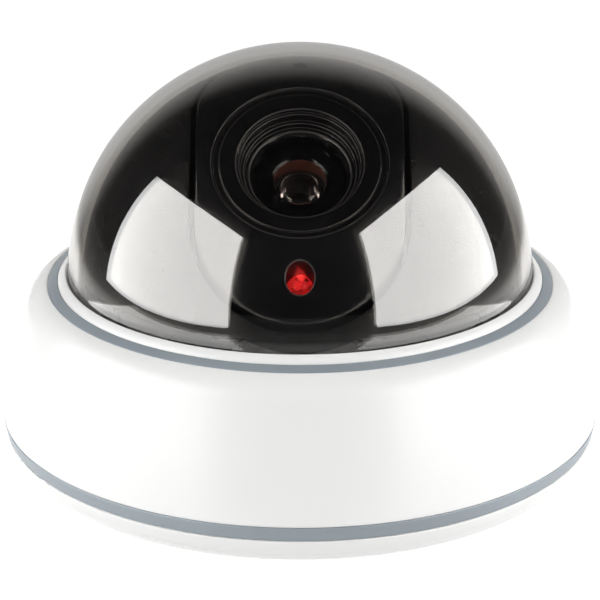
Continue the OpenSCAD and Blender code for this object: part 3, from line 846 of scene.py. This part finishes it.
def make_liner(material):
    """Shroud: a spherical shell with a slot, a level lower edge, two ears for the pins and four bosses."""
    boss_r = 2.2
    boss_high_d = 28
    pilot_r = 0.8
    slot = (COVER_HALF_W + GROOVE_W, COVER_LOW - GROOVE_W, COVER_HIGH + GROOVE_W)
    back = (slot[0] + RETURN_T, slot[1] - RETURN_T, slot[2] + RETURN_T)
    piece = lofted("inner_liner_visual", liner_loops(slot, back, LINER_R - LINER_T), ON_LENS_AXIS)
    cut(piece, [block((-FAR, -FAR, -20), (FAR, FAR, LINER_CUT), AT_DOME_CENTRE)])
    additions = []
    for ear_place in around(2):
        across = AT_DOME_CENTRE @ ear_place
        additions.append(rod(EAR_R, EAR_IN_X, EAR_OUT_X, across @ Matrix.Rotation(math.radians(90), 4, "Y")))
        additions.append(block((EAR_IN_X, -EAR_R, 0.01), (EAR_OUT_X, EAR_R, EAR_R), across))
    boss_places = [shifted(x, y, 0, ON_LENS_AXIS) for x, y in BOSS_PLACES]
    additions += [rod(boss_r, RETURN_D + 0.01, boss_high_d, place, 32) for place in boss_places]
    fuse(piece, additions)
    axle = AT_DOME_CENTRE @ Matrix.Rotation(math.radians(90), 4, "Y")
    holes = [rod(PIN_R + RUNNING_GAP, -FAR, FAR, axle)]
    holes += [rod(pilot_r, RETURN_D - 1, boss_high_d - 1, place, 32) for place in boss_places]
    cut(piece, holes)
    return join_frame(piece, "camera_head", material, ["inner_liner"])


class Skin:
    """Curved plate: part of a sphere over an upright slot's outline, with round holes and rounded edges."""

    # Beyond a rounded edge, a band of level faces keeps its shading off the skin.
    BAND = 1.8

    def __init__(self, radius, half_w, low, high, edge, holes):
        self.radius = radius
        self.half_w, self.low, self.high = half_w, low, high
        self.edge = edge
        self.holes = holes

    def height(self, x, y, drop):
        """Depth of the skin at a point, less a drop."""
        return math.sqrt(self.radius ** 2 - x * x - y * y) - drop

    def rim(self, edge):
        """Steps of a rounded edge: how far in from the edge, and how far below the skin."""
        if edge == 0:
            return [(0, 0)]
        steps = []
        for k in range(FILLET_STEPS + 1):
            turn = math.radians(90 * k / FILLET_STEPS)
            steps.append((edge * (1 - math.cos(turn)), edge * (1 - math.sin(turn))))
        return steps + [(edge * self.BAND, 0)]

    def rings(self):
        """Closed loops at the outline and at each hole, from the edge inwards, with their drop."""
        edge_rings = []
        for off, drop in self.rim(self.edge):
            edge_rings.append((stadium(self.half_w - off, self.low + off, self.high - off, 256), drop))
        made = [edge_rings]
        for centre_y, hole_r, steps, edge in self.holes:
            made.append([(circle(hole_r + off, centre_y, steps), drop) for off, drop in self.rim(edge)])
        return made

    def clearance(self, x, y):
        """Distance from a point inside the skin to its nearest edge."""
        middle_y = min(max(y, self.low + self.half_w), self.high - self.half_w)
        nearest = self.half_w - math.hypot(x, y - middle_y)
        for centre_y, hole_r, _, _ in self.holes:
            nearest = min(nearest, math.hypot(x, y - centre_y) - hole_r)
        return nearest

    def inner_points(self, spacing):
        """Even scatter of points well inside the edges."""
        points = []
        row_step = spacing * math.sin(math.radians(60))
        columns = int(self.half_w / spacing) + 2
        for row in range(int((self.high - self.low) / row_step) + 1):
            for column in range(-columns, columns + 1):
                x = (column + 0.5 * (row % 2)) * spacing
                y = self.low + row * row_step
                if self.clearance(x, y) > self.BAND * self.edge + 0.5:
                    points.append((x, y))
        return points

    def build(self, shape):
        """Adds the skin to a bmesh, and returns its edge loops: the outline first, then each hole."""
        points, drops, edges, first_rings = [], [], [], []
        for rings in self.rings():
            first_rings.append((len(points), len(rings[0][0])))
            for loop, drop in rings:
                start = len(points)
                points += loop
                drops += [drop] * len(loop)
                edges += [(start + i, start + (i + 1) % len(loop)) for i in range(len(loop))]
        points += self.inner_points(1.1)
        flat = [Vector(p) for p in points]
        made, _, faces, origins, _, _ = delaunay_2d_cdt(flat, edges, [], 0, 1e-6, True)
        vertices, at_point = [], {}
        for place, origin in zip(made, origins):
            drop = drops[origin[0]] if origin and origin[0] < len(drops) else 0
            vertices.append(shape.verts.new((place.x, place.y, self.height(place.x, place.y, drop))))
            if origin:
                at_point[origin[0]] = vertices[-1]
        for face in faces:
            centre = sum((made[i] for i in face), Vector((0, 0))) / len(face)
            # The middle of a face beside a small hole can lie a hair inside the hole's circle.
            if self.clearance(centre.x, centre.y) > -0.001:
                shape.faces.new([vertices[i] for i in face])
        return [[at_point[start + i] for i in range(count)] for start, count in first_rings]


def make_module_cover(material, painted_light):
    """Front piece: a curved skin with a skirt, and a collar behind the lamp's hole."""
    shape = bmesh.new()
    outer = Skin(COVER_R, COVER_HALF_W, COVER_LOW, COVER_HIGH, 0.45,
                 [(0, WELL_HOLE_R, 224, 0.35), (LED_Y, LED_HOLE_R, 72, 0.15), (EYE_Y, EYE_R, 40, 0.15)])
    inner = Skin(COVER_R - COVER_T, COVER_HALF_W - SKIRT_T, COVER_LOW + SKIRT_T, COVER_HIGH - SKIRT_T, 0,
                 [(0, WELL_HOLE_R, 224, 0), (LED_Y, LED_HOLE_R + COLLAR_T, 72, 0), (EYE_Y, EYE_R, 40, 0)])
    outline_out, well_out, lamp_out, eye_out = outer.build(shape)
    outline_in, well_in, lamp_in, eye_in = inner.build(shape)
    tube(shape, outline_out, outline_in, RETURN_D - 1)
    tube(shape, lamp_out, lamp_in, COLLAR_LOW_D)
    bridge(shape, well_out, well_in)
    bridge(shape, eye_out, eye_in)
    piece = add_object("module_cover_visual", shape, ON_LENS_AXIS)
    join_frame(piece, "camera_head", material, ["module_cover"])

    def gets_highlight(radius, d, area):
        """The fillet round the well, and the narrow ones round the two small holes, which take a painted
        highlight.
        """
        return (radius < WELL_HOLE_R + 0.25 and d > 39) or area < 0.02

    # The rounded hole edges are painted paler: a painted highlight.
    paint_where(piece, painted_light, gets_highlight)


def tube(shape, outside, inside, low):
    """Wall that runs back from two edge loops to one depth, and closes there."""
    back_out = [shape.verts.new((v.co.x, v.co.y, low)) for v in outside]
    back_in = [shape.verts.new((v.co.x, v.co.y, low)) for v in inside]
    bridge(shape, outside, back_out)
    bridge(shape, back_out, back_in)
    bridge(shape, back_in, inside)


def make_lens_barrel(material, painted_light):
    """Stepped well round the lens, on a flange with four screw bosses."""
    rim_r = 16.0
    flange_r = 17.2
    flange_d = 27
    flange_top_d = 28.5
    cavity_r = 13.6
    lens_bore_r = 8.74
    corners = [
        (lens_bore_r, 30.4),
        (lens_bore_r, 35.3, 0.55),
        (9.44, 36.3, 0.55),
        (10.25, 36.4, 0.1),
        (10.35, 37.5, 0.2),
        (11.0, 37.6, 0.1),
        (11.1, 39.3, 0.2),
        (11.6, 39.4, 0.1),
        (11.7, 40.15, 0.25),
        (14.8, 40.2, 0.15),
        (14.95, 39.85, 0.08),
        (rim_r, 39.8, 0.15),
        (rim_r, flange_top_d),
        (flange_r, flange_top_d, 0.15),
        (flange_r, flange_d, 0.15),
        (cavity_r, flange_d, 0.15),
        (cavity_r, 29.2, 0.3),
    ]
    piece = revolved("lens_barrel_visual", rounded(corners[::-1]), ON_LENS_AXIS, 224)
    boss_places = [shifted(x, y, 0, ON_LENS_AXIS) for x, y in WELL_BOSS_PLACES]
    fuse(piece, [rod(2.8, flange_d, flange_top_d, place, 32) for place in boss_places])
    cut(piece, [rod(1, flange_d - 1, 30, place, 32) for place in boss_places])
    join_frame(piece, "camera_head", material, ["lens_barrel"])
    # The narrow rounded steps of the well are painted paler: a painted highlight.
    paint_where(piece, painted_light, lambda radius, d, area: area < 0.04 and d > 36)


def make_lamp(epoxy, cup, die):
    """Status lamp: a clear red body with a lit cup and chip inside."""
    tip = quarter(LED_R, LED_TIP_D - LED_R, 0, 90, 20)
    tip[-1] = (0, LED_TIP_D)
    shoulder_d = LED_BASE_D + LED_FLANGE_T
    corners = [
        (0, LED_BASE_D),
        (LED_FLANGE_R, LED_BASE_D, 0.1),
        (LED_FLANGE_R, shoulder_d, 0.1),
        (LED_R, shoulder_d, 0.1),
    ]
    on_lamp = shifted(0, LED_Y, 0, ON_LENS_AXIS)
    body = revolved("status_lamp_visual", rounded(corners + tip), on_lamp, 96)
    join_frame(body, "camera_head", epoxy, ["status_led"])
    on_cup = shifted(0, 0, LED_BASE_D, on_lamp)
    cup_low = 0.8
    cup_high = 3.6
    cup_floor = 1.9
    outline = [
        (0, cup_low),
        (1.7, cup_low, 0.1),
        (2.1, cup_high, 0.1),
        (1.7, cup_high, 0.05),
        (0.7, cup_floor, 0.1),
        (0, cup_floor),
    ]
    inside = revolved("status_lamp_cup", rounded(outline), on_cup, 48)
    join_frame(inside, "camera_head", cup)
    chip = rod(0.3, cup_floor + 0.05, cup_floor + 0.5, on_cup, 24)
    chip.name = "status_lamp_chip"
    join_frame(chip, "camera_head", die)


def make_lens(black, glass, metal_ring, brown):
    """Lens: a black cell, a thin ring and two glasses."""
    back_d = 18
    thread_r = 6
    thread_d = 27.5
    neck_r = 6.9
    face_r = 8.4
    face_back_d = 31.6
    face_d = 33.6
    seat_r = 4.9
    seat_d = 29.9
    bore_r = 3.6
    middle_seat_d = 27
    stop_r = 2.2
    corners = [
        (bore_r, back_d),
        (thread_r, back_d, 0.2),
        (thread_r, thread_d),
        (neck_r, thread_d, 0.1),
        (neck_r, face_back_d),
        (face_r, face_back_d, 0.1),
        (face_r, face_d, 0.15),
        (seat_r, face_d, 0.1),
        (seat_r, seat_d),
        (seat_r - 0.5, seat_d, 0.05),
        (bore_r, 29.0, 0.1),
        (bore_r, middle_seat_d),
        (stop_r, middle_seat_d, 0.05),
        (stop_r, 22, 0.1),
        (bore_r, 20.5, 0.05),
    ]
    cell = revolved("lens_cell_visual", rounded(corners), ON_LENS_AXIS, 160)
    join_frame(cell, "lens", black, ["lens_cell"])
    # The bore's inner faces take the lining whose brown top is a painted reflection.
    paint_where(cell, brown, lambda radius, d, area: radius < seat_r + 0.08 and d > middle_seat_d - 0.1)
    ring_in_r = seat_r + 0.05
    ring_out_r = 5.6
    corners = [
        (ring_in_r, face_d),
        (ring_out_r, face_d, 0.05),
        (ring_out_r, face_d + 0.4, 0.1),
        (ring_out_r - 0.2, face_d + 0.45, 0.08),
        (ring_in_r, face_d + 0.05),
    ]
    rim = revolved("lens_ring_visual", rounded(corners), ON_LENS_AXIS, 160)
    join_frame(rim, "lens", metal_ring, ["lens_front_ring"])
    make_glass("front_glass_visual", glass, seat_r - 0.05, seat_d, 0.45, 6.5, "front_element")
    make_glass("middle_glass_visual", glass, bore_r - 0.05, middle_seat_d + 0.2, 0.25, 4, "middle_element")


def paint_where(piece, material, chosen):
    """Gives a second material to chosen faces, by distance from the lens axis, depth and area in mm."""
    piece.data.materials.append(material)
    axis = (ON_LENS_AXIS.to_3x3() @ UP).normalized()
    centre = ON_LENS_AXIS.translation * MM
    for face in piece.data.polygons:
        arm = face.center - centre
        d = arm.dot(axis)
        radius = (arm - axis * d).length
        if chosen(radius / MM, d / MM, face.area / MM ** 2):
            face.material_index = 1


def make_glass(name, material, radius, back_d, edge_h, curve, node):
    """Lens element with a flat back and a domed front."""
    edge_deg = math.degrees(math.acos(radius / curve))
    tip_d = back_d + edge_h + curve - math.sqrt(curve * curve - radius * radius)
    front = quarter(curve, tip_d - curve, edge_deg, 90, 24)
    front[-1] = (0, tip_d)
    outline = [(0, back_d), (radius, back_d)] + front
    piece = revolved(name, outline, ON_LENS_AXIS, 128)
    return join_frame(piece, "lens", material, [node])


# ---- CAD pieces that keep their shape ----

def finish_cad_nodes(looks):
    """Gives each CAD node that still shows its own material."""
    wanted = {
        "black_rubber": ["cable_grommet", "dome_seal"],
        "circuit_board": ["main_board", "sensor_board", "led_board"],
        "bright_steel": ["main_board_screws", "hub_retaining_ring", "tilt_pins", "module_screws",
                         "barrel_screws", "lens_holder_screws", "sensor_board_screws", "led_leads"],
        "chip_black": ["processor_chip", "led_resistor", "aperture_disc"],
        "can_metal": ["board_capacitors"],
        "terminal_green": ["power_terminal"],
        "pale_nylon": ["video_socket", "friction_washer", "tilt_washers", "ribbon_socket"],
        "carriage_black": ["turntable", "lens_holder"],
        "sensor_chip": ["image_sensor"],
        "filter_glass": ["infrared_filter"],
        "light_cell": ["light_sensor"],
        "coated_glass": ["rear_element"],
        "ring_metal": ["focus_lock_ring"],
    }
    for look, nodes in wanted.items():
        for name in nodes:
            for material_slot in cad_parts[name].material_slots:
                material_slot.material = looks[look]


# ---- Studio ----

def add_camera():
    """Camera half a metre away and above the object, with a long lens."""
    camera = bpy.data.objects.new("camera", bpy.data.cameras.new("camera"))
    bpy.context.scene.collection.objects.link(camera)
    camera.location = (0, -0.4670, 0.2088)
    aim = Vector((0, 0, 0.03028))
    camera.rotation_euler = (aim - camera.location).to_track_quat("-Z", "Y").to_euler()
    camera.data.lens = 149.6
    camera.data.sensor_width = 36
    camera.data.clip_start = 0.01
    bpy.context.scene.camera = camera


def greater(tree, first, second):
    made = add_node(tree, "ShaderNodeMath", operation="MAXIMUM")
    tree.links.new(first, made.inputs[0])
    tree.links.new(second, made.inputs[1])
    return made.outputs[0]


def backdrop(tree, direction):
    """Brightness of the room in a direction: a pale wall behind the object, and dark elsewhere."""
    parts = add_node(tree, "ShaderNodeSeparateXYZ")
    tree.links.new(direction, parts.inputs["Vector"])
    return spread(tree, parts.outputs["Y"], 0.02, 0.62, 0.66, 0.90)


def add_floor():
    """White floor. What mirrors it sees it fade out round the object, as the real table did."""
    shape = bmesh.new()
    bmesh.ops.create_grid(shape, x_segments=1, y_segments=1, size=3000)
    floor = add_object("floor", shape, Matrix.Translation((0, 0, -0.05)))
    floor.data.transform(Matrix.Scale(MM, 4))
    material, tree, shader = start_material("floor_white")
    point = object_point(tree)
    shade = between(tree, noise(tree, point, 8), (0.12, 0.12, 0.12), (0.11, 0.11, 0.11))
    tree.links.new(shade, shader.inputs["Base Color"])
    shader.inputs["Roughness"].default_value = 0.9
    shader.inputs["Specular IOR Level"].default_value = 0.0
    away = add_node(tree, "ShaderNodeVectorMath", operation="DISTANCE")
    tree.links.new(point, away.inputs[0])
    away.inputs[1].default_value = (0, 0.02, 0)
    near = spread(tree, away.outputs["Value"], 1.2, 0.1, 0.175, 0.245)
    direction = add_node(tree, "ShaderNodeVectorMath", operation="NORMALIZE")
    tree.links.new(point, direction.inputs[0])
    mirrored = greater(tree, near, backdrop(tree, direction.outputs["Vector"]))
    path = add_node(tree, "ShaderNodeLightPath")
    softer = spread(tree, path.outputs["Is Diffuse Ray"], 1.0, 0.6, 0, 1)
    lit = add_node(tree, "ShaderNodeMath", operation="MULTIPLY")
    tree.links.new(mirrored, lit.inputs[0])
    tree.links.new(softer, lit.inputs[1])
    seen = greater(tree, path.outputs["Is Camera Ray"], lit.outputs[0])
    tree.links.new(seen, shader.inputs["Emission Strength"])
    shader.inputs["Emission Color"].default_value = rgba((1, 1, 1))
    floor.data.materials.append(material)


def add_panel(name, bearing_deg, across, width, low, high, radiance, mirrored):
    """Upright soft panel. A mirrored one shows in gloss and glass, and any other lights what is matt."""
    distance = 0.27
    bearing = math.radians(bearing_deg)
    away = Vector((math.sin(bearing), -math.cos(bearing), 0))
    along = Vector((math.cos(bearing), math.sin(bearing), 0))
    place = away * distance + along * across + UP * (low + high) / 2
    add_area(name, place, away.to_track_quat("Z", "Y").to_euler(), (width, high - low), radiance, mirrored)


def add_pool(name, bearing_deg, across, width, near, far, radiance):
    """Bright patch of floor in front of a soft panel, as the dome mirrors it."""
    turn = math.radians(bearing_deg)
    place = Matrix.Rotation(turn, 3, "Z") @ Vector((across, -(near + far) / 2, 0.001))
    add_area(name, place, (math.pi, 0, turn), (width, far - near), radiance, True)


def add_area(name, place, turn, size, radiance, mirrored):
    light = bpy.data.lights.new(name, "AREA")
    light.shape = "RECTANGLE"
    light.size, light.size_y = size
    light.energy = radiance * math.pi * size[0] * size[1]
    lamp = bpy.data.objects.new(name, light)
    bpy.context.scene.collection.objects.link(lamp)
    lamp.location = place
    lamp.rotation_euler = turn
    lamp.visible_camera = False
    lamp.visible_glossy = mirrored
    lamp.visible_transmission = mirrored
    lamp.visible_diffuse = not mirrored
    # The two panels of a pair share one place, so only the mirrored one may be met by a mirrored ray.
    light.cycles.use_multiple_importance_sampling = mirrored


def add_lights():
    foot = 0.004
    for name, bearing, across, width, high in (("left", -64.4, -0.0125, 0.375, 0.253),
                                               ("right", 68.0, 0.0075, 0.385, 0.270)):
        add_panel(name + "_gloss", bearing, across, width, foot, high, 9.8, True)
        add_panel(name + "_soft", bearing, across, width, foot, high, 2.6, False)
    for name, side in (("left", -1), ("right", 1)):
        add_pool(name + "_pool", 52 * side, 0.02 * side, 0.20, 0.08, 0.215, 3.8)
    add_area("top_soft", UP * 0.5, (0, 0, 0), (0.5, 0.5), 0.9, False)
    add_panel("front_soft", 0, 0, 0.30, foot, 0.25, 0.6, False)


def add_world():
    """White to the camera, and to everything else the room."""
    world = bpy.data.worlds.new("studio")
    world.use_nodes = True
    bpy.context.scene.world = world
    tree = world.node_tree
    direction = add_node(tree, "ShaderNodeTexCoord").outputs["Generated"]
    path = add_node(tree, "ShaderNodeLightPath")
    seen = greater(tree, path.outputs["Is Camera Ray"], backdrop(tree, direction))
    tree.links.new(seen, tree.nodes["Background"].inputs["Strength"])
    tree.nodes["Background"].inputs["Color"].default_value = rgba((1, 1, 1))


# ---- Making ----

looks = {}
for make in (white_abs, grey_trim, smoked_acrylic, black_shroud, black_cover, black_well, painted_edge_highlight,
             lens_black, flocking_painted_reflection, coated_glass, filter_glass, ring_metal, red_epoxy, lit_cup, lit_die,
             black_rubber, circuit_board, chip_black, sensor_chip, bright_steel, can_metal, pale_nylon,
             terminal_green, carriage_black, light_cell):
    looks[make.__name__] = make()

make_base_plate(looks["white_abs"])
make_body_shell(looks["white_abs"])
make_lower_trim(looks["grey_trim"])
make_upper_trim(looks["grey_trim"])
make_dome(looks["smoked_acrylic"])
make_bezel(looks["white_abs"])
make_liner(looks["black_shroud"])
make_module_cover(looks["black_cover"], looks["painted_edge_highlight"])
make_lens_barrel(looks["black_well"], looks["painted_edge_highlight"])
make_lamp(looks["red_epoxy"], looks["lit_cup"], looks["lit_die"])
make_lens(looks["lens_black"], looks["coated_glass"], looks["ring_metal"], looks["flocking_painted_reflection"])
finish_cad_nodes(looks)

add_camera()
add_floor()
add_lights()
add_world()
bpy.context.scene.view_settings.view_transform = "Standard"
